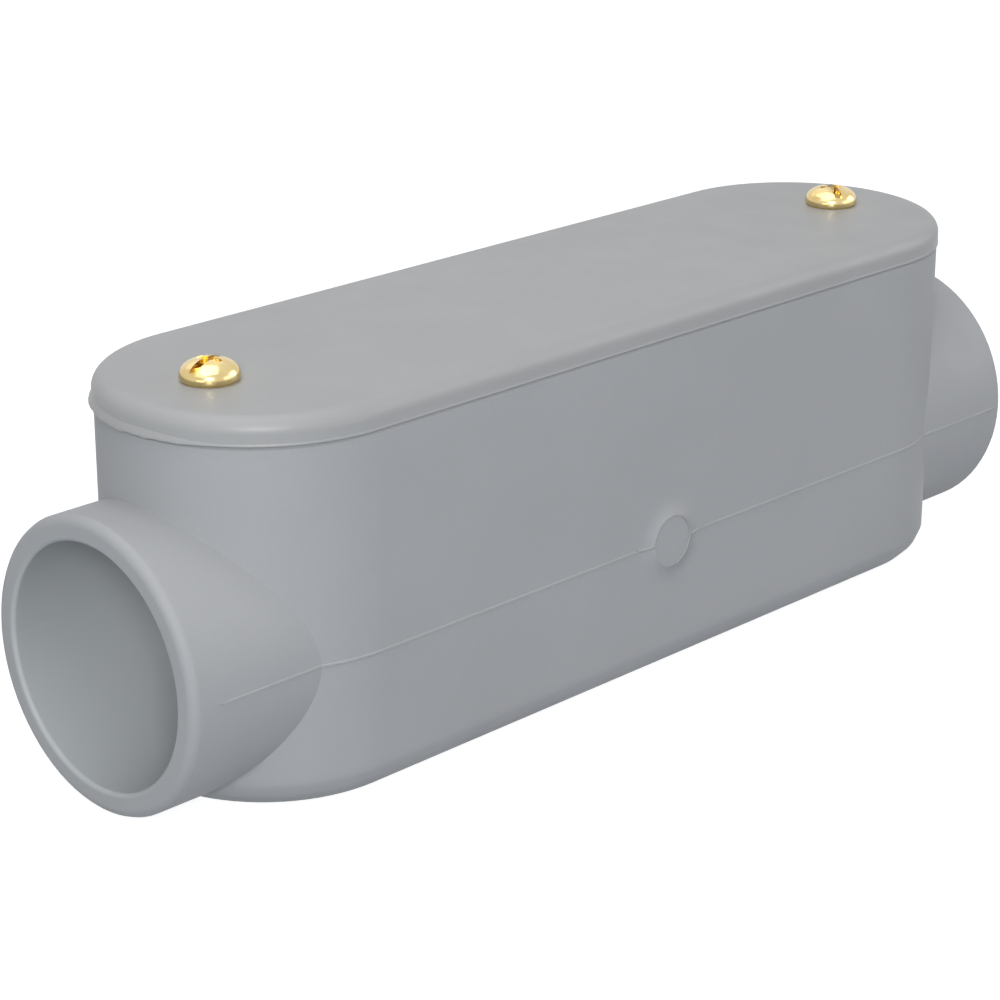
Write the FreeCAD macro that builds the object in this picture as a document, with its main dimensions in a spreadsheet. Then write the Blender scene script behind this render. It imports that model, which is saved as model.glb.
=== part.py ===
"""One-inch rigid PVC conduit body, type C (straight through), as a parametric document.

Five loose pieces: the moulded housing with a conduit socket at each end, the cover, the die-cut gasket
under it and the two pan-head cover screws.

Frame: X runs through both sockets, Y is across, +Z is the cover side. The origin is on the underside of
the housing, at the middle of the part. All lengths are in millimetres.
"""

import FreeCAD, Part
import math
import os
import Sketcher

Vector = FreeCAD.Vector

# ---------------------------------------------------------------------------------------------------
# Driving dimensions: name, value, what it is
# ---------------------------------------------------------------------------------------------------

SIZES = [
    # conduit sockets
    ("socket_diameter", 33.8, "socket bore, an easy fit on 33.4 mm one-inch conduit"),
    ("socket_depth", 25.4, "hub face to the stop that the conduit butts against"),
    ("socket_lead_in", 0.4, "chamfer at the mouth of a socket"),
    ("stop_thickness", 4.2, "ring between the socket and the wiring chamber"),
    ("stop_step", 3.5, "how far the stop stands in from the socket's wall, as thick as the conduit"),
    ("throat_bevel", 1.0, "bevel where the throat opens into the chamber"),
    # housing
    ("hub_wall", 3.45, "wall of the hubs round the sockets"),
    ("hub_edge_radius", 1.4, "rounding of a hub's outer rim"),
    ("hub_rise", 0.1, "underside of the hubs above the flat underside of the body"),
    ("crown", 10.0, "top of the hubs up to the rim that carries the cover"),
    ("side_step", 1.85, "how far each side of the body stands out from the hubs"),
    ("body_length", 154.7, "body alone, over its rounded ends"),
    ("hub_projection", 7.9, "hub face beyond the rounded end of the body"),
    ("body_wall", 3.4, "side walls of the chamber"),
    ("floor_thickness", 3.6, "floor of the chamber"),
    ("floor_corner_radius", 1.6, "rounding inside the chamber, along its floor"),
    ("chamber_corner_radius", 3.0, "upright corners of the chamber"),
    ("underside_radius", 5.0, "rounding along the lower outside edge"),
    ("rim_bevel", 0.5, "bevel of the rim's outer edge"),
    # ridge where the two halves of the mould met, and the mark of the gate where the plastic came in
    ("parting_ridge_height", 0.14, "ridge proud of the sides, at the height of the hubs' axis"),
    ("parting_ridge_width", 0.3, "the same, measured upwards"),
    ("parting_ridge_setback", 4.6, "the ridge on a hub stops this far short of the hub's face"),
    ("gate_offset", 1.4, "gate mark from the middle of the long side"),
    ("gate_diameter", 7.4, "flat disc of the gate mark"),
    ("gate_mound_diameter", 13.4, "foot of the low mound round the disc"),
    ("gate_lip", 0.15, "level lip of the mound round the disc"),
    ("gate_mound_height", 0.55, "height of that mound"),
    ("gate_recess", 0.15, "the disc lies this far below the top of the mound"),
    # cover
    ("cover_thickness", 3.76, "plate over the whole rim"),
    ("cover_end_overhang", 0.25, "cover beyond the body at each rounded end"),
    ("cover_edge_radius", 2.1, "rounding along the cover's top edge"),
    ("cover_foot_bevel", 0.2, "bevel of the cover's lower edge"),
    ("cover_skirt", 1.5, "band of the cover that bears on the rim, outside the gasket"),
    ("cover_hole_clearance", 0.3, "round each screw in the cover and in the gasket"),
    # gasket
    ("gasket_thickness", 1.6, "foam sheet, and the depth of its seat in the cover"),
    ("gasket_clearance", 0.1, "gasket inside the skirt of the cover"),
    ("gasket_lip", 0.7, "gasket beyond the rim's inner edge, over the chamber"),
    ("window_to_screw", 7.0, "end of the gasket's window to the screw's axis"),
    ("window_corner_radius", 4.0, "corners of that window"),
    # screws, number 8 machine thread
    ("screw_setback", 13.3, "screw axis in from the rounded end of the body"),
    ("screw_diameter", 4.17, "over the thread"),
    ("screw_length", 12.7, "under the head"),
    ("screw_tip", 0.6, "bevel at the tip"),
    ("head_diameter", 8.1, "pan head"),
    ("head_height", 2.9, "top of the head"),
    ("head_side", 1.0, "upright side of the head, below its rounded shoulder"),
    ("slot_width", 1.2, "straight slot across the head"),
    ("slot_depth", 1.15, "below the top of the head"),
    ("cross_span", 4.4, "cross recess, tip to tip"),
    ("cross_width", 1.1, "one arm of it"),
    ("cross_depth", 1.8, "below the top of the head"),
    ("left_slot_turn", 4.0, "degrees from the X axis, as the left screw was left"),
    ("right_slot_turn", 58.0, "degrees from the X axis, as the right screw was left"),
    # screw bosses
    ("thread_clearance", 0.05, "between the screw and its hole in the boss"),
    ("boss_wall", 2.7, "plastic round the screw hole"),
    ("hole_runout", 0.8, "screw hole past the tip of the screw"),
]

# Sizes that follow from the ones above, as expressions on the sheet.
HUB_DIAMETER = "(sizes.socket_diameter + 2 * sizes.hub_wall)"
THROAT_DIAMETER = "(sizes.socket_diameter - 2 * sizes.stop_step)"
HUB_AXIS = f"(sizes.hub_rise + {HUB_DIAMETER} / 2)"
BODY_HEIGHT = f"(sizes.hub_rise + {HUB_DIAMETER} + sizes.crown)"
BODY_WIDTH = f"({HUB_DIAMETER} + 2 * sizes.side_step)"
RIDGE_FOOT = f"({HUB_AXIS} - sizes.parting_ridge_width / 2)"
HUB_FACE = "(sizes.body_length / 2 + sizes.hub_projection)"
CHAMBER_END = f"({HUB_FACE} - sizes.socket_depth - sizes.stop_thickness)"
SCREW_X = "(sizes.body_length / 2 - sizes.screw_setback)"
CLEARANCE_HOLE = "(sizes.screw_diameter + 2 * sizes.cover_hole_clearance)"
SCREW_HOLE = "(sizes.screw_diameter + 2 * sizes.thread_clearance)"
SCREW_HOLE_DEPTH = "(sizes.screw_length - sizes.cover_thickness + sizes.hole_runout)"
COVER_LENGTH = "(sizes.body_length + 2 * sizes.cover_end_overhang)"
COVER_TOP = f"({BODY_HEIGHT} + sizes.cover_thickness)"
CHAMBER_WIDTH = f"({BODY_WIDTH} - 2 * sizes.body_wall)"
WELL_FLOOR = f"({HUB_AXIS} + sqrt(max(0; {HUB_DIAMETER}^2 - {CHAMBER_WIDTH}^2)) / 2)"
BOSS_DIAMETER = "(sizes.screw_diameter + 2 * sizes.boss_wall)"
SEAT_LENGTH = f"({COVER_LENGTH} - 2 * sizes.cover_skirt)"
SEAT_WIDTH = f"({BODY_WIDTH} - 2 * sizes.cover_skirt)"
MOUND_TOP = "(sizes.gate_diameter + 2 * sizes.gate_lip)"
MOUND_FLANK_ANGLE = f"atan((sizes.gate_mound_diameter - {MOUND_TOP}) / (2 * sizes.gate_mound_height))"

doc = FreeCAD.newDocument("conduit_body")


def make_sheet():
    """The driving dimensions, one row each: name, value and words."""
    sheet = doc.addObject("Spreadsheet::Sheet", "sizes")
    for row, (name, number, words) in enumerate(SIZES, start=1):
        sheet.set(f"A{row}", name)
        sheet.set(f"B{row}", str(number))
        sheet.set(f"C{row}", words)
        sheet.setAlias(f"B{row}", name)
    doc.recompute()
    return sheet


sizes = make_sheet()


def value(expression):
    """What an expression on the sheet comes to, as a number."""
    result = sizes.evalExpression(expression)
    return float(getattr(result, "Value", result))


# ---------------------------------------------------------------------------------------------------
# Sketches
# ---------------------------------------------------------------------------------------------------

ORIGIN_POINT = (-1, 1)
X_AXIS_LINE = -1
Y_AXIS_LINE = -2
START, END, CENTRE = range(1, 4)


def new_body(label):
    body = doc.addObject("PartDesign::Body", label)
    body.Label = label
    return body


def origin_plane(body, role):
    return [feature for feature in body.Origin.OriginFeatures if feature.Role == role][0]


def new_sketch(body, name, plane, offset=None):
    """An empty sketch on one of the body's origin planes, moved along its normal by offset."""
    sketch = body.newObject("Sketcher::SketchObject", name)
    sketch.AttachmentSupport = [(origin_plane(body, plane), "")]
    sketch.MapMode = "FlatFace"
    if offset:
        sketch.setExpression("AttachmentOffset.Base.z", offset)
    return sketch


def relate(sketch, *terms):
    return sketch.addConstraint(Sketcher.Constraint(*terms))


def dimension(sketch, name, expression, *terms):
    """A dimension bound to an expression on the sheet."""
    index = relate(sketch, *terms, value(expression))
    sketch.renameConstraint(index, name)
    sketch.setExpression(f"Constraints.{name}", expression)


def draw_circle(sketch, name, diameter, x=None, y=None):
    """A circle. Its centre is at x, y from the sketch's origin, or on the axis where one isn't given."""
    centre = Vector(value(x) if x else 0, value(y) if y else 0, 0)
    circle = sketch.addGeometry(Part.Circle(centre, Vector(0, 0, 1), value(diameter) / 2))
    dimension(sketch, f"{name}_diameter", diameter, "Diameter", circle)
    if x:
        dimension(sketch, f"{name}_x", x, "DistanceX", *ORIGIN_POINT, circle, CENTRE)
    else:
        relate(sketch, "PointOnObject", circle, CENTRE, Y_AXIS_LINE)
    if y:
        dimension(sketch, f"{name}_y", y, "DistanceY", *ORIGIN_POINT, circle, CENTRE)
    else:
        relate(sketch, "PointOnObject", circle, CENTRE, X_AXIS_LINE)


def draw_rectangle(sketch, name, length, width, up="0"):
    """A rectangle centred on the sketch's origin, or as far above it as up says."""
    half_length = value(length) / 2
    low = value(up) - value(width) / 2
    high = value(up) + value(width) / 2
    corners = [
        Vector(-half_length, low, 0),
        Vector(half_length, low, 0),
        Vector(half_length, high, 0),
        Vector(-half_length, high, 0),
    ]
    sides = [Part.LineSegment(corners[i], corners[(i + 1) % 4]) for i in range(4)]
    bottom, right, top, left = sketch.addGeometry(sides, False)
    for one, other in ((bottom, right), (right, top), (top, left), (left, bottom)):
        relate(sketch, "Coincident", one, END, other, START)
    relate(sketch, "Symmetric", bottom, START, bottom, END, Y_AXIS_LINE)
    relate(sketch, "Horizontal", top)
    for side in (right, left):
        relate(sketch, "Vertical", side)
    dimension(sketch, f"{name}_foot", f"{up} - {width} / 2", "DistanceY", *ORIGIN_POINT, bottom, START)
    dimension(sketch, f"{name}_length", length, "DistanceX", bottom, START, bottom, END)
    dimension(sketch, f"{name}_width", width, "DistanceY", right, START, right, END)


def draw_rounded_rectangle(sketch, name, length, width, radius):
    """A rectangle centred on the sketch's origin, with its corners rounded."""
    half_length = value(length) / 2
    half_width = value(width) / 2
    corner = value(radius)
    across = half_length - corner
    up = half_width - corner
    axis = Vector(0, 0, 1)
    quarter = math.pi / 2
    sides = sketch.addGeometry(
        [
            Part.LineSegment(Vector(-across, -half_width, 0), Vector(across, -half_width, 0)),
            Part.LineSegment(Vector(half_length, -up, 0), Vector(half_length, up, 0)),
            Part.LineSegment(Vector(across, half_width, 0), Vector(-across, half_width, 0)),
            Part.LineSegment(Vector(-half_length, up, 0), Vector(-half_length, -up, 0)),
        ],
        False,
    )
    centres = [(across, -up), (across, up), (-across, up), (-across, -up)]
    corners = sketch.addGeometry(
        [
            Part.ArcOfCircle(
                Part.Circle(Vector(x, y, 0), axis, corner), (turn - 1) * quarter, turn * quarter
            )
            for turn, (x, y) in enumerate(centres)
        ],
        False,
    )
    for i in range(4):
        relate(sketch, "Tangent", sides[i], END, corners[i], START)
        relate(sketch, "Tangent", corners[i], END, sides[(i + 1) % 4], START)
    bottom, right, top, left = sides
    relate(sketch, "Horizontal", bottom)
    for other in corners[1:]:
        relate(sketch, "Equal", corners[0], other)
    relate(sketch, "Symmetric", corners[0], CENTRE, corners[2], CENTRE, *ORIGIN_POINT)
    dimension(sketch, f"{name}_radius", radius, "Radius", corners[0])
    run = f"{length} - 2 * {radius}"
    dimension(sketch, f"{name}_length", run, "DistanceX", bottom, START, bottom, END)
    dimension(sketch, f"{name}_width", f"{width} - 2 * {radius}", "DistanceY", right, START, right, END)


def draw_obround(sketch, name, length, width):
    """A racetrack outline centred on the sketch's origin, with half-round ends."""
    radius = value(width) / 2
    centre = value(length) / 2 - radius
    up = Vector(0, 0, 1)
    quarter = math.pi / 2
    bottom, right, top, left = sketch.addGeometry(
        [
            Part.LineSegment(Vector(-centre, -radius, 0), Vector(centre, -radius, 0)),
            Part.ArcOfCircle(Part.Circle(Vector(centre, 0, 0), up, radius), -quarter, quarter),
            Part.LineSegment(Vector(centre, radius, 0), Vector(-centre, radius, 0)),
            Part.ArcOfCircle(Part.Circle(Vector(-centre, 0, 0), up, radius), quarter, 3 * quarter),
        ],
        False,
    )
    for one, other in ((bottom, right), (right, top), (top, left), (left, bottom)):
        relate(sketch, "Tangent", one, END, other, START)
    relate(sketch, "Horizontal", bottom)
    relate(sketch, "Equal", right, left)
    relate(sketch, "Symmetric", right, CENTRE, left, CENTRE, *ORIGIN_POINT)
    dimension(sketch, f"{name}_radius", f"{width} / 2", "Radius", right)
    dimension(sketch, f"{name}_centres", f"{length} - {width}", "DistanceX", left, CENTRE, right, CENTRE)


# ---------------------------------------------------------------------------------------------------
# Solid features
# ---------------------------------------------------------------------------------------------------


def add_pad(body, sketch, length, reverse=False):
    pad = body.newObject("PartDesign::Pad", f"{sketch.Name}_pad")
    pad.Profile = sketch
    pad.Reversed = reverse
    pad.setExpression("Length", length)
    return recomputed(body, pad, grows=True)


def cut_pocket(body, sketch, depth):
    """Cut against the sketch's normal."""
    pocket = body.newObject("PartDesign::Pocket", f"{sketch.Name}_pocket")
    pocket.Profile = sketch
    pocket.setExpression("Length", depth)
    return recomputed(body, pocket, grows=False)


def dress_edges(body, kind, name, size_property, size, chosen):
    """A Fillet or Chamfer on every edge of the body's tip that chosen() accepts."""
    base = body.Tip
    names = [f"Edge{i}" for i, edge in enumerate(base.Shape.Edges, start=1) if chosen(edge)]
    if not names:
        raise RuntimeError(f"{name} has no edge")
    feature = body.newObject(f"PartDesign::{kind}", name)
    feature.Base = (base, names)
    feature.setExpression(size_property, size)
    doc.recompute()
    return feature


def fillet(body, name, radius, chosen):
    return dress_edges(body, "Fillet", name, "Radius", radius, chosen)


def chamfer(body, name, size, chosen):
    return dress_edges(body, "Chamfer", name, "Size", size, chosen)


def bevel_round(body, name, radius, outer, eased):
    """Three bevels against a round of this radius: one at 45 degrees, then one on each of its edges."""
    first = f"{radius} * (1 - tan(22.5 deg))"
    chamfer(body, name, first, outer)
    step = value(first)
    second = f"{radius} * (tan(22.5 deg) - tan(11.25 deg))"
    chamfer(body, f"{name}_sides", second, lambda edge: eased(edge, step))


def recomputed(body, feature, grows):
    """Recompute, and make sure that the feature adds or takes away what it should."""
    before = feature.BaseFeature.Shape.Volume if feature.BaseFeature else 0
    doc.recompute()
    change = feature.Shape.Volume - before
    if (change > 0) != grows:
        raise RuntimeError(f"{feature.Name} changes the volume of {body.Label} by {change:.3f} mm3")
    return feature


def mirror_across(body, name, plane, features):
    """Repeat features on the other side of one of the body's origin planes."""
    mirrored = body.newObject("PartDesign::Mirrored", name)
    mirrored.Originals = features
    mirrored.MirrorPlane = (origin_plane(body, plane), [""])
    body.Tip = mirrored
    doc.recompute()
    return mirrored


NEAR = 1e-4  # mm, two places closer than this are the same


def same(one, other):
    return abs(one - other) < NEAR


def at_height(edge, height):
    """The whole edge lies level at this height."""
    return same(edge.BoundBox.ZMin, height) and same(edge.BoundBox.ZMax, height)


def on_circle(edge, radius, end):
    """The edge lies on a circle of this radius round an axis along X, this far from the middle."""
    curve = edge.Curve
    return (
        isinstance(curve, Part.Circle)
        and same(curve.Radius, radius)
        and same(abs(curve.Axis.x), 1)
        and same(abs(curve.Center.x), end)
    )


# ---------------------------------------------------------------------------------------------------
# Housing
# ---------------------------------------------------------------------------------------------------


def make_housing():
    """The moulded body: chamber, two hubs with their sockets, and a screw boss over each socket."""
    body = new_body("housing")
    height = value(BODY_HEIGHT)

    outline = new_sketch(body, "body_outline", "XY_Plane")
    draw_obround(outline, "body", "sizes.body_length", BODY_WIDTH)
    add_pad(body, outline, BODY_HEIGHT)
    bevel_round(
        body,
        "underside_edge",
        "sizes.underside_radius",
        lambda edge: at_height(edge, 0),
        lambda edge, step: at_height(edge, 0) or at_height(edge, step),
    )
    chamfer(body, "rim_edge", "sizes.rim_bevel", lambda edge: at_height(edge, height))

    ridge = new_sketch(body, "body_ridge", "XY_Plane", RIDGE_FOOT)
    draw_obround(
        ridge,
        "ridge",
        "(sizes.body_length + 2 * sizes.parting_ridge_height)",
        f"({BODY_WIDTH} + 2 * sizes.parting_ridge_height)",
    )
    add_pad(body, ridge, "sizes.parting_ridge_width")

    # The well is the upper part of the chamber and runs over both sockets, down to where the hubs meet
    # its sides. The lower part stops at the inner end of each socket.
    well = new_sketch(body, "well", "XY_Plane", BODY_HEIGHT)
    draw_obround(well, "well", "(sizes.body_length - 2 * sizes.body_wall)", CHAMBER_WIDTH)
    cut_pocket(body, well, f"{BODY_HEIGHT} - {WELL_FLOOR}")
    chamber = new_sketch(body, "chamber", "XY_Plane", WELL_FLOOR)
    draw_rounded_rectangle(
        chamber, "chamber", f"(2 * {CHAMBER_END})", CHAMBER_WIDTH, "sizes.chamber_corner_radius"
    )
    cut_pocket(body, chamber, f"{WELL_FLOOR} - sizes.floor_thickness")
    floor = value("sizes.floor_thickness")
    fillet(body, "chamber_floor", "sizes.floor_corner_radius", lambda edge: at_height(edge, floor))
    make_socket_ends(body)
    finish_throats(body)
    finish_hubs(body)
    make_gate_mark(body)
    return body


def make_socket_ends(body):
    """One end with its hub, screw boss, socket, throat and screw hole, and the same at the other end."""
    hub = new_sketch(body, "hub", "YZ_Plane", CHAMBER_END)
    draw_circle(hub, "hub", HUB_DIAMETER, y=HUB_AXIS)
    hub_pad = add_pad(body, hub, f"{HUB_FACE} - {CHAMBER_END}")

    ridge = new_sketch(body, "hub_ridge", "YZ_Plane", CHAMBER_END)
    draw_rectangle(
        ridge,
        "ridge",
        f"({HUB_DIAMETER} + 2 * sizes.parting_ridge_height)",
        "sizes.parting_ridge_width",
        HUB_AXIS,
    )
    ridge_pad = add_pad(body, ridge, f"{HUB_FACE} - {CHAMBER_END} - sizes.parting_ridge_setback")

    # A tongue from the end wall carries the screw: it reaches down into the hub's wall and ends level
    # with the rim.
    boss = new_sketch(body, "boss", "XY_Plane", BODY_HEIGHT)
    draw_tongue(boss, "boss", SCREW_X, BOSS_DIAMETER, "(sizes.body_length / 2 - sizes.body_wall / 2)")
    boss_pad = add_pad(body, boss, "sizes.crown + sizes.hub_wall", reverse=True)

    socket = new_sketch(body, "socket", "YZ_Plane", HUB_FACE)
    draw_circle(socket, "socket", "sizes.socket_diameter", y=HUB_AXIS)
    socket_pocket = cut_pocket(body, socket, "sizes.socket_depth")
    throat = new_sketch(body, "throat", "YZ_Plane", HUB_FACE)
    draw_circle(throat, "throat", THROAT_DIAMETER, y=HUB_AXIS)
    throat_pocket = cut_pocket(body, throat, "sizes.socket_depth + sizes.stop_thickness")

    screw_hole = new_sketch(body, "screw_hole", "XY_Plane", BODY_HEIGHT)
    draw_circle(screw_hole, "screw_hole", SCREW_HOLE, x=SCREW_X)
    hole_pocket = cut_pocket(body, screw_hole, SCREW_HOLE_DEPTH)
    one_end = [hub_pad, ridge_pad, boss_pad, socket_pocket, throat_pocket, hole_pocket]
    mirror_across(body, "other_end", "YZ_Plane", one_end)


def draw_tongue(sketch, name, centre_x, width, root_x):
    """A tongue with a half-round tip round centre_x, and straight sides out to root_x."""
    radius = value(width) / 2
    centre = value(centre_x)
    root = value(root_x)
    quarter = math.pi / 2
    tip, upper, end, lower = sketch.addGeometry(
        [
            Part.ArcOfCircle(
                Part.Circle(Vector(centre, 0, 0), Vector(0, 0, 1), radius), quarter, 3 * quarter
            ),
            Part.LineSegment(Vector(root, radius, 0), Vector(centre, radius, 0)),
            Part.LineSegment(Vector(root, -radius, 0), Vector(root, radius, 0)),
            Part.LineSegment(Vector(centre, -radius, 0), Vector(root, -radius, 0)),
        ],
        False,
    )
    relate(sketch, "Tangent", upper, END, tip, START)
    relate(sketch, "Tangent", tip, END, lower, START)
    relate(sketch, "Coincident", lower, END, end, START)
    relate(sketch, "Coincident", end, END, upper, START)
    relate(sketch, "Horizontal", upper)
    relate(sketch, "Vertical", end)
    relate(sketch, "PointOnObject", tip, CENTRE, X_AXIS_LINE)
    dimension(sketch, f"{name}_radius", f"{width} / 2", "Radius", tip)
    dimension(sketch, f"{name}_tip", centre_x, "DistanceX", *ORIGIN_POINT, tip, CENTRE)
    dimension(sketch, f"{name}_root", root_x, "DistanceX", *ORIGIN_POINT, end, START)


def finish_throats(body):
    """Bevel the edge that the wires are pulled over, where each throat opens into the chamber."""
    end = value(CHAMBER_END)
    radius = value(THROAT_DIAMETER) / 2
    chamfer(body, "throat_edges", "sizes.throat_bevel", lambda edge: on_circle(edge, radius, end))


def finish_hubs(body):
    """Ease each hub's outer rim and bevel the mouth of its socket."""
    face = value(HUB_FACE)
    radius = value(HUB_DIAMETER) / 2
    bevel_round(
        body,
        "hub_rims",
        "sizes.hub_edge_radius",
        lambda edge: on_circle(edge, radius, face),
        lambda edge, step: on_circle(edge, radius - step, face) or on_circle(edge, radius, face - step),
    )
    mouth = value("sizes.socket_diameter") / 2
    chamfer(body, "socket_mouths", "sizes.socket_lead_in", lambda edge: on_circle(edge, mouth, face))


def make_gate_mark(body):
    """A low cone on one long side, at the height of the hubs' axis, with a flat disc sunk in its top."""
    mound = new_sketch(body, "gate_mound", "XZ_Plane", f"{BODY_WIDTH} / 2")
    draw_circle(mound, "mound", "sizes.gate_mound_diameter", x="sizes.gate_offset", y=HUB_AXIS)
    mound_pad = add_pad(body, mound, "sizes.gate_mound_height")
    # The flank leans in from the foot of the mound to the rim of the disc, less a narrow flat lip.
    mound_pad.setExpression("TaperAngle", f"-{MOUND_FLANK_ANGLE}")
    recomputed(body, mound_pad, grows=True)
    disc = new_sketch(body, "gate_disc", "XZ_Plane", f"{BODY_WIDTH} / 2 + sizes.gate_mound_height")
    draw_circle(disc, "disc", "sizes.gate_diameter", x="sizes.gate_offset", y=HUB_AXIS)
    cut_pocket(body, disc, "sizes.gate_recess")


# ---------------------------------------------------------------------------------------------------
# Cover and gasket
# ---------------------------------------------------------------------------------------------------


def make_cover():
    """A plate with a rounded top edge, two screw holes and a seat for the gasket in its underside."""
    body = new_body("cover")
    body.setExpression("Placement.Base.z", BODY_HEIGHT)

    plate = new_sketch(body, "cover_outline", "XY_Plane")
    draw_obround(plate, "cover", COVER_LENGTH, BODY_WIDTH)
    add_pad(body, plate, "sizes.cover_thickness")
    thickness = value("sizes.cover_thickness")
    fillet(body, "cover_top_edge", "sizes.cover_edge_radius", lambda edge: at_height(edge, thickness))
    chamfer(body, "cover_foot", "sizes.cover_foot_bevel", lambda edge: at_height(edge, 0))

    seat = new_sketch(body, "gasket_seat", "XY_Plane", "sizes.gasket_thickness")
    draw_obround(seat, "seat", SEAT_LENGTH, SEAT_WIDTH)
    cut_pocket(body, seat, "sizes.gasket_thickness")
    holes = new_sketch(body, "cover_holes", "XY_Plane", "sizes.cover_thickness")
    draw_circle(holes, "right", CLEARANCE_HOLE, x=SCREW_X)
    draw_circle(holes, "left", CLEARANCE_HOLE, x=f"-{SCREW_X}")
    cut_pocket(body, holes, "sizes.cover_thickness")
    return body


def make_gasket():
    """A flat foam sheet that fills its seat in the cover, with a window over the chamber."""
    body = new_body("gasket")
    body.setExpression("Placement.Base.z", BODY_HEIGHT)

    sheet = new_sketch(body, "gasket_outline", "XY_Plane")
    draw_obround(
        sheet,
        "gasket",
        f"({SEAT_LENGTH} - 2 * sizes.gasket_clearance)",
        f"({SEAT_WIDTH} - 2 * sizes.gasket_clearance)",
    )
    add_pad(body, sheet, "sizes.gasket_thickness")
    window = new_sketch(body, "gasket_window", "XY_Plane", "sizes.gasket_thickness")
    draw_rounded_rectangle(
        window,
        "window",
        f"(2 * ({SCREW_X} - sizes.window_to_screw))",
        f"({CHAMBER_WIDTH} - 2 * sizes.gasket_lip)",
        "sizes.window_corner_radius",
    )
    cut_pocket(body, window, "sizes.gasket_thickness")
    holes = new_sketch(body, "gasket_holes", "XY_Plane", "sizes.gasket_thickness")
    draw_circle(holes, "right", CLEARANCE_HOLE, x=SCREW_X)
    draw_circle(holes, "left", CLEARANCE_HOLE, x=f"-{SCREW_X}")
    cut_pocket(body, holes, "sizes.gasket_thickness")
    return body


# ---------------------------------------------------------------------------------------------------
# Screws
# ---------------------------------------------------------------------------------------------------


def make_screw(side, x):
    """A pan-head screw with a cross recess and a straight slot. Its head bears on the cover at z = 0."""
    body = new_body(f"cover_screw_{side}")
    body.setExpression("Placement.Base.x", x)
    body.setExpression("Placement.Base.z", COVER_TOP)
    body.setExpression("Placement.Rotation.Angle", f"sizes.{side}_slot_turn")

    profile = new_sketch(body, f"{side}_screw_profile", "XZ_Plane")
    draw_screw_profile(profile)
    turned = body.newObject("PartDesign::Revolution", f"{side}_screw_turned")
    turned.Profile = profile
    turned.ReferenceAxis = (profile, ["V_Axis"])
    turned.Angle = 360
    recomputed(body, turned, grows=True)
    crown = value("sizes.head_height")
    bevel_round(
        body,
        f"{side}_crown",
        "(sizes.head_height - sizes.head_side)",
        lambda edge: at_height(edge, crown),
        lambda edge, step: at_height(edge, crown) or at_height(edge, crown - step),
    )

    slot = new_sketch(body, f"{side}_slot", "XY_Plane", "sizes.head_height")
    draw_rectangle(slot, "slot", "(2 * sizes.head_diameter)", "sizes.slot_width")
    cut_pocket(body, slot, "sizes.slot_depth")
    for axis, length, width in (
        ("along", "sizes.cross_span", "sizes.cross_width"),
        ("across", "sizes.cross_width", "sizes.cross_span"),
    ):
        arm = new_sketch(body, f"{side}_cross_{axis}", "XY_Plane", "sizes.head_height")
        draw_rectangle(arm, "arm", length, width)
        cut_pocket(body, arm, "sizes.cross_depth")
    return body


def draw_screw_profile(sketch):
    """Half the screw's section: bevelled shank, and a head that is square as yet."""
    shank = value("sizes.screw_diameter") / 2
    length = value("sizes.screw_length")
    tip = value("sizes.screw_tip")
    head = value("sizes.head_diameter") / 2
    top = value("sizes.head_height")
    points = [
        Vector(0, top, 0),
        Vector(0, -length, 0),
        Vector(shank - tip, -length, 0),
        Vector(shank, tip - length, 0),
        Vector(shank, 0, 0),
        Vector(head, 0, 0),
        Vector(head, top, 0),
        Vector(0, top, 0),
    ]
    segments = [Part.LineSegment(one, other) for one, other in zip(points, points[1:])]
    runs = sketch.addGeometry(segments, False)
    axis_run, tip_run, bevel, shank_run, under_head, head_side, crown = runs
    for one, other in zip(runs, runs[1:]):
        relate(sketch, "Coincident", one, END, other, START)
    relate(sketch, "Coincident", crown, END, axis_run, START)
    relate(sketch, "PointOnObject", axis_run, START, Y_AXIS_LINE)
    relate(sketch, "PointOnObject", axis_run, END, Y_AXIS_LINE)
    relate(sketch, "PointOnObject", under_head, START, X_AXIS_LINE)
    relate(sketch, "Horizontal", tip_run)
    relate(sketch, "Vertical", shank_run)
    relate(sketch, "Horizontal", under_head)
    relate(sketch, "Vertical", head_side)
    relate(sketch, "Horizontal", crown)
    dimension(sketch, "length", "sizes.screw_length", "DistanceY", axis_run, END, *ORIGIN_POINT)
    dimension(sketch, "shank", "sizes.screw_diameter / 2", "DistanceX", *ORIGIN_POINT, shank_run, END)
    dimension(sketch, "tip_x", "sizes.screw_tip", "DistanceX", bevel, START, bevel, END)
    dimension(sketch, "tip_y", "sizes.screw_tip", "DistanceY", bevel, START, bevel, END)
    dimension(sketch, "head", "sizes.head_diameter / 2", "DistanceX", *ORIGIN_POINT, under_head, END)
    dimension(sketch, "top", "sizes.head_height", "DistanceY", *ORIGIN_POINT, axis_run, START)


# ---------------------------------------------------------------------------------------------------
# Build, check and write
# ---------------------------------------------------------------------------------------------------

pieces = [make_housing(), make_cover(), make_gasket()]
for side, x in (("left", f"-{SCREW_X}"), ("right", SCREW_X)):
    pieces.append(make_screw(side, x))
doc.recompute()

for thing in doc.Objects:
    if "Invalid" in thing.State or "Error" in thing.State:
        raise RuntimeError(f"{thing.Label} did not recompute: {thing.State}")
for piece in pieces:
    shape = piece.Shape
    if shape.isNull() or not shape.isValid() or len(shape.Solids) != 1:
        raise RuntimeError(f"{piece.Label} is not one valid solid")

os.makedirs("parts", exist_ok=True)
for piece in pieces:
    piece.Shape.exportStep(os.path.join("parts", f"{piece.Label}.step"))
    box = piece.Shape.optimalBoundingBox()
    print(
        f"{piece.Label}: {piece.Shape.Volume / 1000:.2f} cm3, X {box.XMin:.2f} to {box.XMax:.2f}, "
        f"Y {box.YMin:.2f} to {box.YMax:.2f}, Z {box.ZMin:.2f} to {box.ZMax:.2f}"
    )
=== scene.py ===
"""A grey PVC conduit body with a screwed cover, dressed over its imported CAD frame."""

import math

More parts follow.
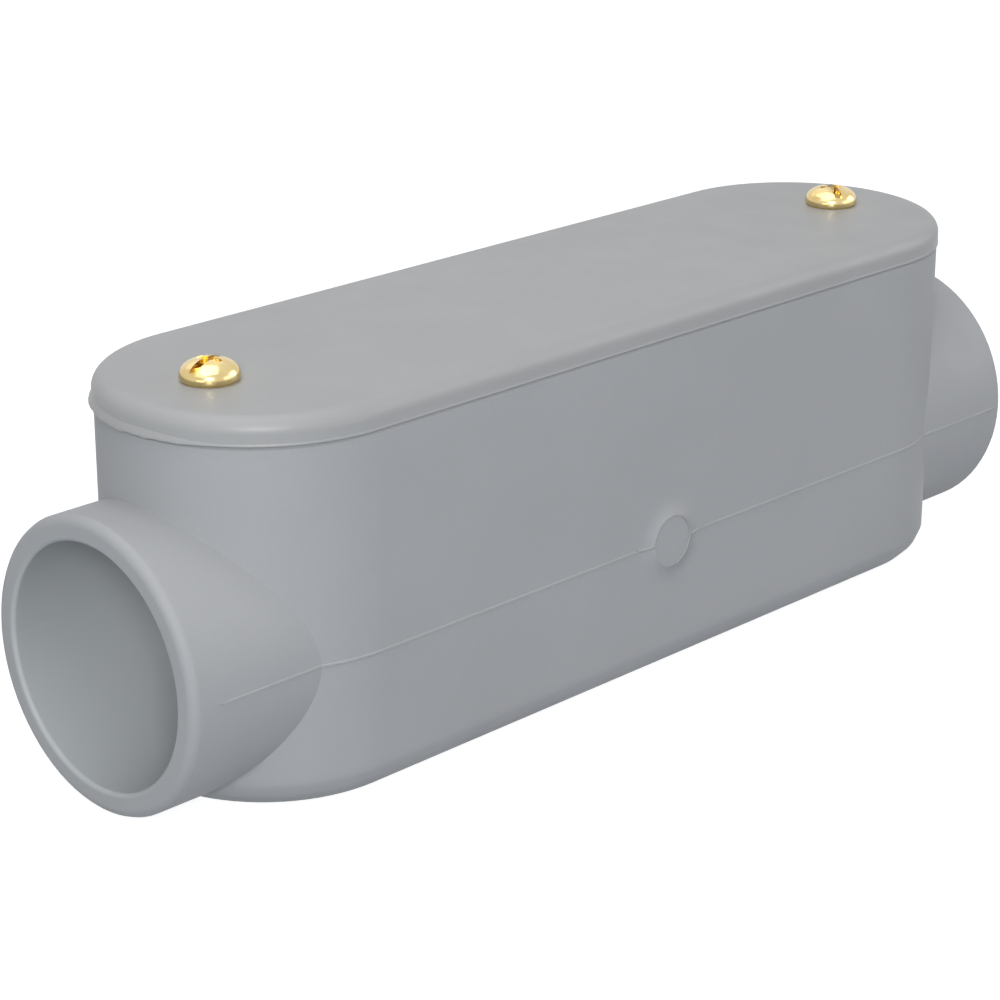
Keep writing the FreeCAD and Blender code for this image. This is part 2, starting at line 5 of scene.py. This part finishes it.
import bmesh
import bpy
from mathutils import Matrix, Vector


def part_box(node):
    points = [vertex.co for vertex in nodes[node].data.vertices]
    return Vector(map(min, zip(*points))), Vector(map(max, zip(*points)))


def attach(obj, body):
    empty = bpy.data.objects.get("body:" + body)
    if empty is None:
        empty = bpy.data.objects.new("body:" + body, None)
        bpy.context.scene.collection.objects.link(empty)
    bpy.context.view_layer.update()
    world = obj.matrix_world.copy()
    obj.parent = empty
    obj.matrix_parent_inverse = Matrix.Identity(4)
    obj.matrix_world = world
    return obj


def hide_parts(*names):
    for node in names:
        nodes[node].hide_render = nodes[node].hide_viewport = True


MM = 0.001
HAIR = 0.01 * MM

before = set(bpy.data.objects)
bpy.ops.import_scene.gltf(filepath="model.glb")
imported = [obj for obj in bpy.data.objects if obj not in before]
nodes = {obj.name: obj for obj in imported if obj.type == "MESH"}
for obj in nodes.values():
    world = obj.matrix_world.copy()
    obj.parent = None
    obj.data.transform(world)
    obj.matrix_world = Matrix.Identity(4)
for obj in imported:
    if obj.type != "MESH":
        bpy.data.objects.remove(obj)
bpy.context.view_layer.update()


# ---------------------------------------------------------------------------------------------------
# Camera
# ---------------------------------------------------------------------------------------------------

# The camera looks at TARGET from this far off. Azimuth 0 looks along +Y.
AZIMUTH = math.radians(-45.333)
ELEVATION = math.radians(20.29)
TARGET = Vector((-10.832, 0, 23.957)) * MM
DISTANCE = 411.417 * MM
SENSOR_WIDTH = 36
FOCAL_LENGTH = 101.94


def add_camera():
    data = bpy.data.cameras.new("camera")
    data.sensor_width = SENSOR_WIDTH
    data.lens = FOCAL_LENGTH
    data.clip_start = 0.01
    data.clip_end = 20
    camera = bpy.data.objects.new("camera", data)
    bpy.context.scene.collection.objects.link(camera)
    back = Vector(
        (
            math.sin(AZIMUTH) * math.cos(ELEVATION),
            -math.cos(AZIMUTH) * math.cos(ELEVATION),
            math.sin(ELEVATION),
        )
    )
    camera.location = TARGET + back * DISTANCE
    camera.rotation_euler = back.to_track_quat("Z", "Y").to_euler()
    bpy.context.scene.camera = camera


# ---------------------------------------------------------------------------------------------------
# Materials
# ---------------------------------------------------------------------------------------------------


class Graph:
    """The node tree of a material or of the world, with short calls to add and join its nodes."""

    def __init__(self, owner, output="ShaderNodeOutputMaterial"):
        self.owner = owner
        owner.use_nodes = True
        self.tree = owner.node_tree
        self.tree.nodes.clear()
        self.output = self.add(output)

    def add(self, kind, inputs=None, **settings):
        node = self.tree.nodes.new(kind)
        for key, setting in settings.items():
            setattr(node, key, setting)
        for key, entry in (inputs or {}).items():
            socket = node.inputs[key]
            if isinstance(entry, bpy.types.NodeSocket):
                self.tree.links.new(entry, socket)
            else:
                socket.default_value = entry
        return node

    def place(self):
        return self.add("ShaderNodeTexCoord").outputs["Object"]

    def noise(self, size, detail, roughness=0.5):
        """Noise whose lumps are about this many millimetres across."""
        spread = self.add(
            "ShaderNodeMapping",
            {"Vector": self.place(), "Scale": [1 / (size * MM)] * 3},
        )
        texture = self.add(
            "ShaderNodeTexNoise",
            {
                "Vector": spread.outputs["Vector"],
                "Scale": 1.0,
                "Detail": detail,
                "Roughness": roughness,
            },
        )
        return texture.outputs["Fac"]

    def ramp(self, factor, start, end, first, last):
        """First up to start and last from end on, in a straight line between them."""
        node = self.add(
            "ShaderNodeMapRange",
            {
                "Value": factor,
                "From Min": start,
                "From Max": end,
                "To Min": first,
                "To Max": last,
            },
        )
        return node.outputs["Result"]

    def between(self, factor, low, high):
        """Maps noise of about 0.3 to 0.7 onto low to high."""
        return self.ramp(factor, 0.3, 0.7, low, high)

    def math(self, operation, one, other=None):
        """The result of a math node on one or two values."""
        inputs = {0: one} if other is None else {0: one, 1: other}
        return self.add("ShaderNodeMath", inputs, operation=operation).outputs[0]

    def mix(self, factor, one, other):
        node = self.add("ShaderNodeMix", data_type="RGBA")
        for socket, entry in ((node.inputs[0], factor), (node.inputs[6], one), (node.inputs[7], other)):
            if isinstance(entry, bpy.types.NodeSocket):
                self.tree.links.new(entry, socket)
            else:
                socket.default_value = entry
        return node.outputs[2]

    def seen(self):
        """1 where the camera, a mirror or glass looks at the surface, and 0 for the light it gives."""
        path = self.add("ShaderNodeLightPath").outputs
        first = self.math("MAXIMUM", path["Is Camera Ray"], path["Is Glossy Ray"])
        return self.math("MAXIMUM", first, path["Is Transmission Ray"])

    def bump(self, height, strength, distance, normal=None):
        inputs = {"Height": height, "Strength": strength, "Distance": distance * MM}
        if normal:
            inputs["Normal"] = normal
        return self.add("ShaderNodeBump", inputs).outputs["Normal"]

    def finish(self, **inputs):
        shader = self.add("ShaderNodeBsdfPrincipled", inputs)
        self.tree.links.new(shader.outputs["BSDF"], self.output.inputs["Surface"])
        return self.owner


def new_graph(name):
    return Graph(bpy.data.materials.new(name))


def housing_skin():
    """The corners of the CAD housing's mesh, in the scene's frame."""
    housing = nodes["housing"]
    return [housing.matrix_world @ v.co for v in housing.data.vertices]


def axis_height():
    """The height of the hubs' axis, from the rim of the right hub's face."""
    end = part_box("housing")[1].x
    heights = [v.z for v in housing_skin() if v.x > end - HAIR]
    return (min(heights) + max(heights)) / 2


def grey(level, red=1.0, blue=1.0):
    return (level * red, level, level * blue, 1.0)


# How far the edges look rounded: everywhere, at the hubs' rims, and along the underside.
EDGE_EASE = 0.08 * MM
RIM_EASE = 0.6 * MM
UNDERSIDE_EASE = 1.7 * MM

# Where each of these begins and where it is whole: the rims and the body by their distance from a hub's face,
# the underside by its height, and the painted light in the sockets by its distance from the axis and from the
# part's middle.
RIM_SPAN = (3.0 * MM, 2.2 * MM)
BODY_SPAN = (7.0 * MM, 8.5 * MM)
UNDERSIDE_SPAN = (8.0 * MM, 6.5 * MM)
# The sockets' painted light: where it starts and is whole by distance from the axis, then from the part's
# middle.
SOCKET_LIGHT_SPAN = (17.6 * MM, 17.1 * MM)
SOCKET_LIGHT_STOP_SPAN = (58 * MM, 60 * MM)


def eased_edges(g):
    """Normals rounded over the edges: widely under the body and at the hubs' rims, else by a hair."""
    part = g.add("ShaderNodeSeparateXYZ", {"Vector": g.place()}).outputs
    along = g.math("ABSOLUTE", part["X"])
    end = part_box("housing")[1].x
    low = g.ramp(part["Z"], *UNDERSIDE_SPAN, 0, UNDERSIDE_EASE)
    rim = g.ramp(along, end - RIM_SPAN[0], end - RIM_SPAN[1], EDGE_EASE, RIM_EASE)
    body = g.ramp(along, end - BODY_SPAN[0], end - BODY_SPAN[1], 0, 1)
    radius = g.math("MAXIMUM", g.math("MULTIPLY", low, body), rim)
    return g.add("ShaderNodeBevel", {"Radius": radius}, samples=10).outputs["Normal"]


def socket_painted_light(g):
    """1 on the sockets' skin, where painted light makes the colour paler, and 0 elsewhere."""
    part = g.add("ShaderNodeSeparateXYZ", {"Vector": g.place()}).outputs
    up = g.math("SUBTRACT", part["Z"], axis_height())
    across = g.add("ShaderNodeCombineXYZ", {"X": part["Y"], "Y": up}).outputs[0]
    radius = g.add("ShaderNodeVectorMath", {0: across}, operation="LENGTH").outputs["Value"]
    near_axis = g.ramp(radius, *SOCKET_LIGHT_SPAN, 0, 1)
    deep = g.ramp(g.math("ABSOLUTE", part["X"]), *SOCKET_LIGHT_STOP_SPAN, 0, 1)
    return g.math("MULTIPLY", near_axis, deep)


# Level, red and blue shares of the grey, depth of the orange peel in millimetres, and roughness.
HOUSING_PVC = (0.39, 0.975, 1.045, 0.02, 0.6)
COVER_PVC = (0.37, 0.98, 1.02, 0.03, 0.46)


def make_pvc(name, level, red, blue, peel, dullness, edges=None):
    """Moulded PVC of this grey: faint flow marks and speckle in the colour, and an orange-peel skin. With
    eased edges it is the housing's, with painted light that makes the sockets paler."""
    g = new_graph(name)
    flow = g.mix(
        g.between(g.noise(26, 3), 0, 1),
        grey(level * 0.975, red, blue),
        grey(level * 1.025, red, blue),
    )
    colour = g.mix(g.between(g.noise(0.7, 4, 0.6), 0, 0.3), flow, grey(level * 0.92, red, blue))
    if edges:
        # Painted light: the sockets' skin is made paler and cooler, in place of light reaching inside them.
        colour = g.mix(socket_painted_light(g), colour, grey(level * 1.18, red * 0.97, blue * 0.985))
    rough = g.between(g.noise(9, 4), dullness - 0.04, dullness + 0.05)
    skin = g.bump(g.noise(1.6, 3), 0.35, peel, edges(g) if edges else None)
    grain = g.bump(g.noise(0.25, 2), 0.3, peel * 0.4, skin)
    return g.finish(**{"Base Color": colour, "Roughness": rough, "IOR": 1.5, "Normal": grain})


def make_foam(name):
    """Closed-cell foam sheet."""
    g = new_graph(name)
    cells = g.add(
        "ShaderNodeTexVoronoi", {"Vector": g.place(), "Scale": 1 / (0.45 * MM)}
    ).outputs["Distance"]
    colour = g.mix(g.between(g.noise(3, 4), 0, 1), grey(0.018), grey(0.035))
    normal = g.bump(cells, 0.7, 0.15)
    return g.finish(**{"Base Color": colour, "Roughness": 0.85, "Normal": normal})


def make_gilt(name):
    """Bright yellow zinc plating on steel, with faint handling marks."""
    g = new_graph(name)
    colour = g.mix(g.between(g.noise(2.2, 3), 0, 1), (0.68, 0.51, 0.22, 1), (0.78, 0.62, 0.31, 1))
    rough = g.between(g.noise(0.9, 4), 0.14, 0.24)
    normal = g.bump(g.noise(0.35, 3), 0.25, 0.02)
    return g.finish(**{"Base Color": colour, "Metallic": 1.0, "Roughness": rough, "Normal": normal})


def dress(node, material):
    data = nodes[node].data
    data.materials.clear()
    data.materials.append(material)


# ---------------------------------------------------------------------------------------------------
# Studio
# ---------------------------------------------------------------------------------------------------


# Area lamps: name, place and aim, width and height, all in metres, then power in watts and colour.
LAMPS = [
    ("key", (-0.60, -0.59, 0.36), (-0.02, 0, 0.03), (0.27, 0.27), 4.65),
    ("overhead", (-0.10, 0.05, 0.75), (0, 0, 0.03), (0.9, 0.6), 3.05),
    ("left", (-0.55, -0.05, 0.65), (-0.02, 0, 0.03), (0.5, 0.5), 0.7),
    ("right", (0.80, -0.45, 0.35), (0, 0, 0.03), (0.5, 0.5), 1.75),
    ("behind", (0.20, 0.60, 0.60), (0, 0, 0.03), (0.8, 0.4), 0.35),
    ("front", (0.45, -0.85, 0.25), (0.04, 0, 0.03), (0.6, 0.4), 0.75),
    ("mouth", (-0.85, -0.22, 0.08), (-0.06, 0, 0.02), (0.4, 0.14), 0.42, (0.93, 1.0, 0.95)),
]


def add_light(name, place, aim, size, power, colour=(1, 1, 1)):
    data = bpy.data.lights.new(name, "AREA")
    data.shape = "RECTANGLE"
    data.size, data.size_y = size
    data.energy = power
    data.color = colour
    light = bpy.data.objects.new(name, data)
    bpy.context.scene.collection.objects.link(light)
    light.location = place
    light.rotation_euler = (Vector(place) - Vector(aim)).to_track_quat("Z", "Y").to_euler()


FLOOR_HALF_WIDTH = 3
FLOOR_DROP = 0.02 * MM


def add_floor():
    """A pale floor that shows whiter than it lights the part."""
    mesh = bpy.data.meshes.new("floor")
    grid = bmesh.new()
    bmesh.ops.create_grid(grid, x_segments=1, y_segments=1, size=FLOOR_HALF_WIDTH)
    bmesh.ops.translate(grid, vec=(0, 0, -FLOOR_DROP), verts=grid.verts)
    grid.to_mesh(mesh)
    grid.free()
    floor = bpy.data.objects.new("floor", mesh)
    bpy.context.scene.collection.objects.link(floor)
    g = new_graph("floor")
    paper = g.add("ShaderNodeBsdfDiffuse", {"Color": (0.34, 0.36, 0.39, 1)})
    glow = g.add("ShaderNodeEmission", {"Color": (1, 1, 1, 1), "Strength": 0.88})
    shown = g.add("ShaderNodeAddShader")
    g.tree.links.new(paper.outputs[0], shown.inputs[0])
    g.tree.links.new(glow.outputs[0], shown.inputs[1])
    pick = g.add("ShaderNodeMixShader", {"Fac": g.seen()})
    g.tree.links.new(paper.outputs[0], pick.inputs[1])
    g.tree.links.new(shown.outputs[0], pick.inputs[2])
    g.tree.links.new(pick.outputs[0], g.output.inputs["Surface"])
    mesh.materials.append(g.owner)


def set_world():
    """A white room that gives next to no light."""
    world = bpy.data.worlds.new("studio")
    bpy.context.scene.world = world
    g = Graph(world, "ShaderNodeOutputWorld")
    room = g.add("ShaderNodeBackground", {"Color": (0.96, 0.98, 1.0, 1), "Strength": 0.02})
    white = g.add("ShaderNodeBackground", {"Color": (1, 1, 1, 1), "Strength": 1.0})
    pick = g.add("ShaderNodeMixShader", {"Fac": g.seen()})
    g.tree.links.new(room.outputs[0], pick.inputs[1])
    g.tree.links.new(white.outputs[0], pick.inputs[2])
    g.tree.links.new(pick.outputs[0], g.output.inputs["Surface"])


# ---------------------------------------------------------------------------------------------------
# Pieces
# ---------------------------------------------------------------------------------------------------


def add_mesh(name, points, faces, material, body):
    """A smooth-shaded mesh piece that rides on a body."""
    mesh = bpy.data.meshes.new(name)
    mesh.from_pydata([tuple(p) for p in points], [], faces)
    mesh.materials.append(material)
    mesh.polygons.foreach_set("use_smooth", [True] * len(mesh.polygons))
    piece = bpy.data.objects.new(name, mesh)
    bpy.context.scene.collection.objects.link(piece)
    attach(piece, body)
    return piece


def ring_faces(rows, columns, closed=True):
    """Faces between rows of points, each row joined up with the next."""
    faces = []
    for row in range(rows - 1):
        for column in range(columns if closed else columns - 1):
            here = row * columns + column
            beside = row * columns + (column + 1) % columns
            faces.append((here, beside, beside + columns, here + columns))
    return faces


def fade(x, low, high):
    """0 below low, 1 above high, and a smooth step between them."""
    t = min(max((x - low) / (high - low), 0.0), 1.0)
    return t * t * (3 - 2 * t)


# A head has an upright side, with its lower edge drawn in, under a crown. The crown is a superellipse of
# this power.
HEAD_SIDE = 0.55 * MM
HEAD_FOOT = [(0.3 * MM, 0), (0.13 * MM, 0.14 * MM), (0.04 * MM, 0.33 * MM)]
HEAD_FULLNESS = 2.35
HEAD_RINGS = 14
HEAD_COLUMNS = 96
SLOT_WIDTH = 1.2 * MM
SLOT_DEPTH = 1.15 * MM
CROSS_SPAN = 4.4 * MM
CROSS_WIDTH = 1.1 * MM
CROSS_DEPTH = 1.8 * MM
CROSS_TAPER = 0.6
TIP_BEVEL = 0.62 * MM
THREAD_PITCH = 0.794 * MM
THREAD_DEPTH = 0.46 * MM
THREAD_SLOPE = 1.25
THREAD_RUNOUT = (0.2 * MM, 1.1 * MM)
THREAD_COLUMNS = 32
THREAD_ROWS_PER_TURN = 8
CREASE = math.radians(35)

# How far each screw's slot is turned from the part's length, in degrees.
SCREW_TURNS = (("left", 14), ("right", 58))


def polar(axis, radius, angle, height):
    """The point at this angle and distance from a vertical axis."""
    return axis.x + radius * math.cos(angle), axis.y + radius * math.sin(angle), height


def turned(profile, columns, axis):
    """A closed shape turned round a vertical axis: (radius, height) pairs that begin and end on it."""
    points = [(axis.x, axis.y, profile[0][1])]
    for radius, height in profile[1:-1]:
        for column in range(columns):
            points.append(polar(axis, radius, 2 * math.pi * column / columns, height))
    points.append((axis.x, axis.y, profile[-1][1]))
    faces = [tuple(1 + i for i in quad) for quad in ring_faces(len(profile) - 2, columns)]
    last = 1 + (len(profile) - 3) * columns
    for column in range(columns):
        beside = (column + 1) % columns
        faces.append((0, 1 + beside, 1 + column))
        faces.append((last + column, last + beside, len(points) - 1))
    return points, faces


def add_temporary(name, points, faces):
    """A mesh thing that is used up by cut_by."""
    mesh = bpy.data.meshes.new(name)
    mesh.from_pydata([tuple(p) for p in points], [], faces)
    thing = bpy.data.objects.new(name, mesh)
    bpy.context.scene.collection.objects.link(thing)
    return thing


def cut_by(thing, cutters):
    """The mesh of a thing with the cutters taken out of it. The thing and its cutters are removed."""
    for cutter in cutters:
        cut = thing.modifiers.new(cutter.name, "BOOLEAN")
        cut.operation = "DIFFERENCE"
        cut.solver = "EXACT"
        cut.object = cutter
    graph = bpy.context.evaluated_depsgraph_get()
    mesh = bpy.data.meshes.new_from_object(thing.evaluated_get(graph))
    for spent in (thing, *cutters):
        bpy.data.objects.remove(spent)
    return mesh


CUBE_FACES = [(0, 1, 3, 2), (4, 6, 7, 5), (0, 4, 5, 1), (2, 3, 7, 6), (0, 2, 6, 4), (1, 5, 7, 3)]


def add_bar(name, middle, turn, length, width, low, high, taper=1.0):
    """An upright-sided bar, or one that narrows towards its lower face."""
    points = []
    for x in (-length / 2, length / 2):
        for y in (-width / 2, width / 2):
            for z, scale in ((low, taper), (high, 1.0)):
                along = Vector((x * scale, y * scale, 0))
                along.rotate(Matrix.Rotation(turn, 3, "Z"))
                points.append((middle.x + along.x, middle.y + along.y, z))
    return add_temporary(name, points, CUBE_FACES)


def head_mesh(name, middle, seat, top, radius, turn):
    """A pan head with a straight slot across it and a cross recess in the middle."""
    side = seat + HEAD_SIDE
    profile = [(0, seat)]
    profile += [(radius - inset, seat + rise) for inset, rise in HEAD_FOOT]
    profile.append((radius, side))
    for step in range(1, HEAD_RINGS):
        lean = math.pi / 2 * step / HEAD_RINGS
        away = math.cos(lean) ** (2 / HEAD_FULLNESS)
        rise = math.sin(lean) ** (2 / HEAD_FULLNESS)
        profile.append((radius * away, side + (top - side) * rise))
    profile.append((0, top))
    points, faces = turned(profile, HEAD_COLUMNS, middle)
    head = add_temporary(name, points, faces)
    over = top + 1 * MM
    cross = (top - CROSS_DEPTH, over, CROSS_TAPER)
    cutters = [
        add_bar("slot", middle, turn, 3 * radius, SLOT_WIDTH, top - SLOT_DEPTH, over),
        add_bar("cross_along", middle, turn, CROSS_SPAN, CROSS_WIDTH, *cross),
        add_bar("cross_across", middle, turn, CROSS_WIDTH, CROSS_SPAN, *cross),
    ]
    return cut_by(head, cutters)


def thread_mesh(name, middle, seat, tip, crest):
    """A shank with a cut thread, from under the head down to a bevelled tip."""
    length = seat - tip
    rows = round(length / THREAD_PITCH * THREAD_ROWS_PER_TURN) + 1
    points = []
    for row in range(rows):
        depth = length * row / (rows - 1)
        for column in range(THREAD_COLUMNS):
            turn = column / THREAD_COLUMNS
            phase = (depth / THREAD_PITCH + turn) % 1.0
            cut = min(1.0, THREAD_SLOPE * (1 - abs(2 * phase - 1))) * fade(depth, *THREAD_RUNOUT)
            radius = min(crest - THREAD_DEPTH * cut, crest - TIP_BEVEL + length - depth)
            points.append(polar(middle, radius, 2 * math.pi * turn, seat - depth))
    faces = [tuple(reversed(face)) for face in ring_faces(rows, THREAD_COLUMNS)]
    points.append((middle.x, middle.y, tip))
    last = (rows - 1) * THREAD_COLUMNS
    for column in range(THREAD_COLUMNS):
        faces.append((last + column, len(points) - 1, last + (column + 1) % THREAD_COLUMNS))
    mesh = bpy.data.meshes.new(name)
    mesh.from_pydata(points, [], faces)
    return mesh


def add_screw(side, turn, material):
    """A pan-head screw with a smooth head and a cut thread, in place of the CAD screw."""
    name = f"cover_screw_{side}"
    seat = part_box("cover")[1].z
    low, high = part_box(name)
    middle = (low + high) / 2
    radius = (high.x - low.x) / 2
    corners = [nodes[name].matrix_world @ v.co for v in nodes[name].data.vertices]
    shank = [math.hypot(c.x - middle.x, c.y - middle.y) for c in corners if c.z < seat - HAIR]
    whole = bmesh.new()
    whole.from_mesh(head_mesh(f"{name}_head", middle, seat, high.z, radius, math.radians(turn)))
    whole.from_mesh(thread_mesh(f"{name}_thread", middle, seat, low.z, max(shank)))
    mesh = bpy.data.meshes.new(f"{name}_whole")
    whole.to_mesh(mesh)
    whole.free()
    mesh.materials.clear()
    mesh.materials.append(material)
    mesh.polygons.foreach_set("material_index", [0] * len(mesh.polygons))
    mesh.polygons.foreach_set("use_smooth", [True] * len(mesh.polygons))
    piece = bpy.data.objects.new(f"threaded_screw_{side}", mesh)
    bpy.context.scene.collection.objects.link(piece)
    split = piece.modifiers.new("crease", "EDGE_SPLIT")
    split.split_angle = CREASE
    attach(piece, name)
    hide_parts(name)


def obround(straight, radius, spacing):
    """Round an outline with half-round ends, from the middle of its left end: each point, its outward
    direction, and how far it lies from that middle in turns of the left end, in radians."""
    quarter = math.pi * radius / 2
    whole = 4 * quarter + 4 * straight
    count = round(whole / spacing)
    for i in range(count):
        run = whole * (i / count if 2 * i < count else i / count - 1)
        if abs(run) < quarter:
            angle = math.pi + run / radius
            corner = Vector((-straight, 0))
        elif abs(run) < quarter + 2 * straight:
            angle = math.copysign(math.pi / 2, -run)
            corner = Vector((abs(run) - quarter - straight, 0))
        else:
            angle = math.copysign(1, run) * (abs(run) - 2 * quarter - 2 * straight) / radius
            corner = Vector((straight, 0))
        out = Vector((math.cos(angle), math.sin(angle)))
        yield corner + radius * out, out, run / radius


# How far the bead at the cover's lower edge stands out and up, in millimetres, and the flash likewise.
BEAD = [(-0.12, 0.02), (0.05, 0.00), (0.075, 0.08), (0.055, 0.20), (-0.02, 0.42)]
FLASH = [(-0.12, -0.16), (0.34, -0.20), (0.43, -0.06), (0.36, 0.26), (-0.02, 1.0)]
BEAD_SPACING = 0.7 * MM

# Where the flash comes up and dies away, in turns from the middle of the left end, in radians.
FLASH_START = (-1.25, -0.9)
FLASH_END = (0.12, 0.62)

# The flash's ragged edge: waves of this height, many to a radian and shift, and how far, in millimetres,
# they move the lower rows and the upper ones.
FLASH_WAVES = [(0.5, 9.3, 0), (0.4, 27, 1), (0.35, 58, 2)]
LOWER_ROWS = 3
LOWER_WAVE = 0.19
UPPER_WAVE = 0.04


def add_cover_bead(material):
    """The bead along the cover's lower edge, which spreads into ragged flash round the left end."""
    low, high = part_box("cover")
    rows = [[] for _ in BEAD]
    for place, out, turn in obround(high.x - high.y, high.y, BEAD_SPACING):
        size = fade(turn, *FLASH_START) * (1 - fade(turn, *FLASH_END))
        wave = sum(height * math.sin(rate * turn + shift) for height, rate, shift in FLASH_WAVES)
        for row, (bead, flash) in enumerate(zip(BEAD, FLASH)):
            reach = bead[0] + (flash[0] - bead[0]) * size
            rise = bead[1] + (flash[1] - bead[1]) * size
            rise += (LOWER_WAVE if row < LOWER_ROWS else UPPER_WAVE) * wave * size
            spot = place + out * reach * MM
            rows[row].append((spot.x, spot.y, low.z + rise * MM))
    points = [point for row in rows for point in row]
    faces = ring_faces(len(BEAD), len(rows[0]))
    add_mesh("cover_bead", points, faces, material, "cover")


# Where the housing's mesh is measured: within this of the cover's top for the body's end, beyond that end
# for the hub, and outside the near wall for the gate mark.
RIM_SEARCH = 6 * MM
HUB_SEARCH = 3 * MM
GATE_SEARCH = 0.2 * MM

# How far the parting line stands out and up, in millimetres. Its upper flank is the wide one.
SEAM = [(-0.02, -0.19), (0.135, -0.16), (0.137, 0.15), (0.106, 0.2), (-0.02, 0.29)]
SEAM_SINK = 0.02
SEAM_SPACING = 0.8 * MM
SEAM_OVERLAP = 0.6 * MM

# On the hubs the line starts inside the body and ends this far from the face, left and right.
HUB_SEAM_START = 22 * MM
HUB_SEAM_SETBACKS = ((-1, 4.6 * MM), (1, 1.8 * MM))
HUB_SEAM_TAPER = 1.5 * MM
HUB_SEAM_POINTS = 25


def add_strip(name, points, columns, material, turned_over):
    """A strip of the parting line, from as many rows of points as its section has."""
    faces = ring_faces(len(SEAM), columns, False)
    if turned_over:
        faces = [tuple(reversed(face)) for face in faces]
    add_mesh(name, points, faces, material, "housing")


def add_body_seams(material, body_end, wall, hub, axis):
    """The parting line along each long side of the body, which runs into the hubs' walls at its ends."""
    outline = list(obround(body_end - wall, wall, SEAM_SPACING))
    for name, side_y in (("near", -1), ("far", 1)):
        run = [(place, out) for place, out, _ in outline if side_y * place.y > hub - SEAM_OVERLAP]
        run.sort(key=lambda entry: entry[0].x)
        points = []
        for reach, rise in SEAM:
            for place, out in run:
                spot = place + out * reach * MM
                points.append((spot.x, spot.y, axis + rise * MM))
        add_strip(f"body_seam_{name}", points, len(run), material, side_y > 0)


def add_hub_seams(material, body_end, hub, axis):
    """The parting line along both sides of each hub, sinking into it before the rim."""
    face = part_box("housing")[1].x
    start = body_end - HUB_SEAM_START
    for side_x, setback in HUB_SEAM_SETBACKS:
        end = face - setback
        for side_y in (-1, 1):
            points = []
            for reach, rise in SEAM:
                for step in range(HUB_SEAM_POINTS):
                    x = start + (end - start) * step / (HUB_SEAM_POINTS - 1)
                    taper = 1 - fade(x, end - HUB_SEAM_TAPER, end)
                    out = hub + (reach * taper - SEAM_SINK * (1 - taper)) * MM
                    points.append((side_x * x, side_y * out, axis + rise * MM))
            hand = "left" if side_x < 0 else "right"
            name = f"hub_seam_{hand}_{'near' if side_y < 0 else 'far'}"
            add_strip(name, points, HUB_SEAM_POINTS, material, side_x * side_y > 0)


def add_parting_line(material):
    """The ridge of the parting line, along the body and along both sides of each hub."""
    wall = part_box("cover")[1].y
    axis = axis_height()
    skin = housing_skin()
    body_end = max(v.x for v in skin if abs(v.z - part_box("cover")[1].z) < RIM_SEARCH)
    hub = max(v.z for v in skin if v.x > body_end + HUB_SEARCH) - axis
    add_body_seams(material, body_end, wall, hub, axis)
    add_hub_seams(material, body_end, hub, axis)


# The gate mark's flank: how far it sweeps out from the middle, how steep its normals make it look where it
# meets the disc, and the width of the CAD cone round the disc.
GATE_REACH = 7.6 * MM
GATE_STEEPNESS = 0.68
GATE_CONE = 2.85 * MM
GATE_SKIRT = 0.06 * MM
GATE_COVER = 0.004 * MM
GATE_RINGS = 17
GATE_COLUMNS = 128
GATE_SEAM_OVERLAP = 0.6 * MM
GATE_SEAM_POINTS = 12


def add_gate_mark(material):
    """The flank of the gate mark, swept up to its disc, with the parting line climbing it."""
    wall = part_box("cover")[0].y
    skin = [v for v in housing_skin() if v.y < wall - GATE_SEARCH]
    peak = min(v.y for v in skin)
    disc = [v.x for v in skin if v.y < peak + HAIR]
    middle = Vector(((min(disc) + max(disc)) / 2, wall, axis_height()))
    inner = (max(disc) - min(disc)) / 2
    rise = wall - peak
    foot = inner + GATE_CONE

    def cone(radius):
        return rise * max(0.0, (foot - radius) / (foot - inner))

    add_gate_flank(material, middle, inner, foot, rise, cone)
    for side in (-1, 1):
        points = []
        for reach, up in SEAM:
            for step in range(GATE_SEAM_POINTS):
                span = foot + GATE_SEAM_OVERLAP - inner
                radius = inner + span * step / (GATE_SEAM_POINTS - 1)
                out = min(cone(radius) + reach * MM, rise)
                points.append((middle.x + side * radius, wall - out, middle.z + up * MM))
        name = f"gate_seam_{'left' if side < 0 else 'right'}"
        add_strip(name, points, GATE_SEAM_POINTS, material, side < 0)


def add_gate_flank(material, middle, inner, foot, rise, cone):
    """The swept flank, just proud of the CAD cone. Its normals lean further than its faces do."""
    points = []
    normals = []
    for ring in range(GATE_RINGS):
        radius = inner + (GATE_REACH - inner) * (ring / (GATE_RINGS - 1))
        skirt = GATE_SKIRT * fade(GATE_REACH - radius, 0, GATE_REACH - foot) * fade(radius, inner, foot)
        out = min(cone(radius) + skirt + GATE_COVER, rise)
        if ring == GATE_RINGS - 1:
            out = -HAIR
        lean = GATE_STEEPNESS * ((GATE_REACH - radius) / (GATE_REACH - inner)) ** 2
        for column in range(GATE_COLUMNS):
            angle = 2 * math.pi * column / GATE_COLUMNS
            along = Vector((math.cos(angle), 0, math.sin(angle)))
            points.append(middle + along * radius - Vector((0, out, 0)))
            normals.append((along * lean - Vector((0, 1, 0))).normalized())
    faces = [tuple(reversed(face)) for face in ring_faces(GATE_RINGS, GATE_COLUMNS)]
    piece = add_mesh("gate_flank", points, faces, material, "housing")
    piece.data.normals_split_custom_set_from_vertices(normals)


# ---------------------------------------------------------------------------------------------------
# The scene
# ---------------------------------------------------------------------------------------------------

bpy.context.scene.view_settings.view_transform = "Standard"
add_camera()
set_world()
add_floor()
for lamp in LAMPS:
    add_light(*lamp)

pvc = make_pvc("housing_pvc", *HOUSING_PVC, eased_edges)
bare_pvc = make_pvc("housing_pvc_flank", *HOUSING_PVC)
cover_pvc = make_pvc("cover_pvc", *COVER_PVC)
dress("housing", pvc)
dress("cover", cover_pvc)
dress("gasket", make_foam("gasket_foam"))
gilt = make_gilt("screw_plating")
for side, turn in SCREW_TURNS:
    dress(f"cover_screw_{side}", gilt)
    add_screw(side, turn, gilt)
add_cover_bead(cover_pvc)
add_parting_line(bare_pvc)
add_gate_mark(bare_pvc)
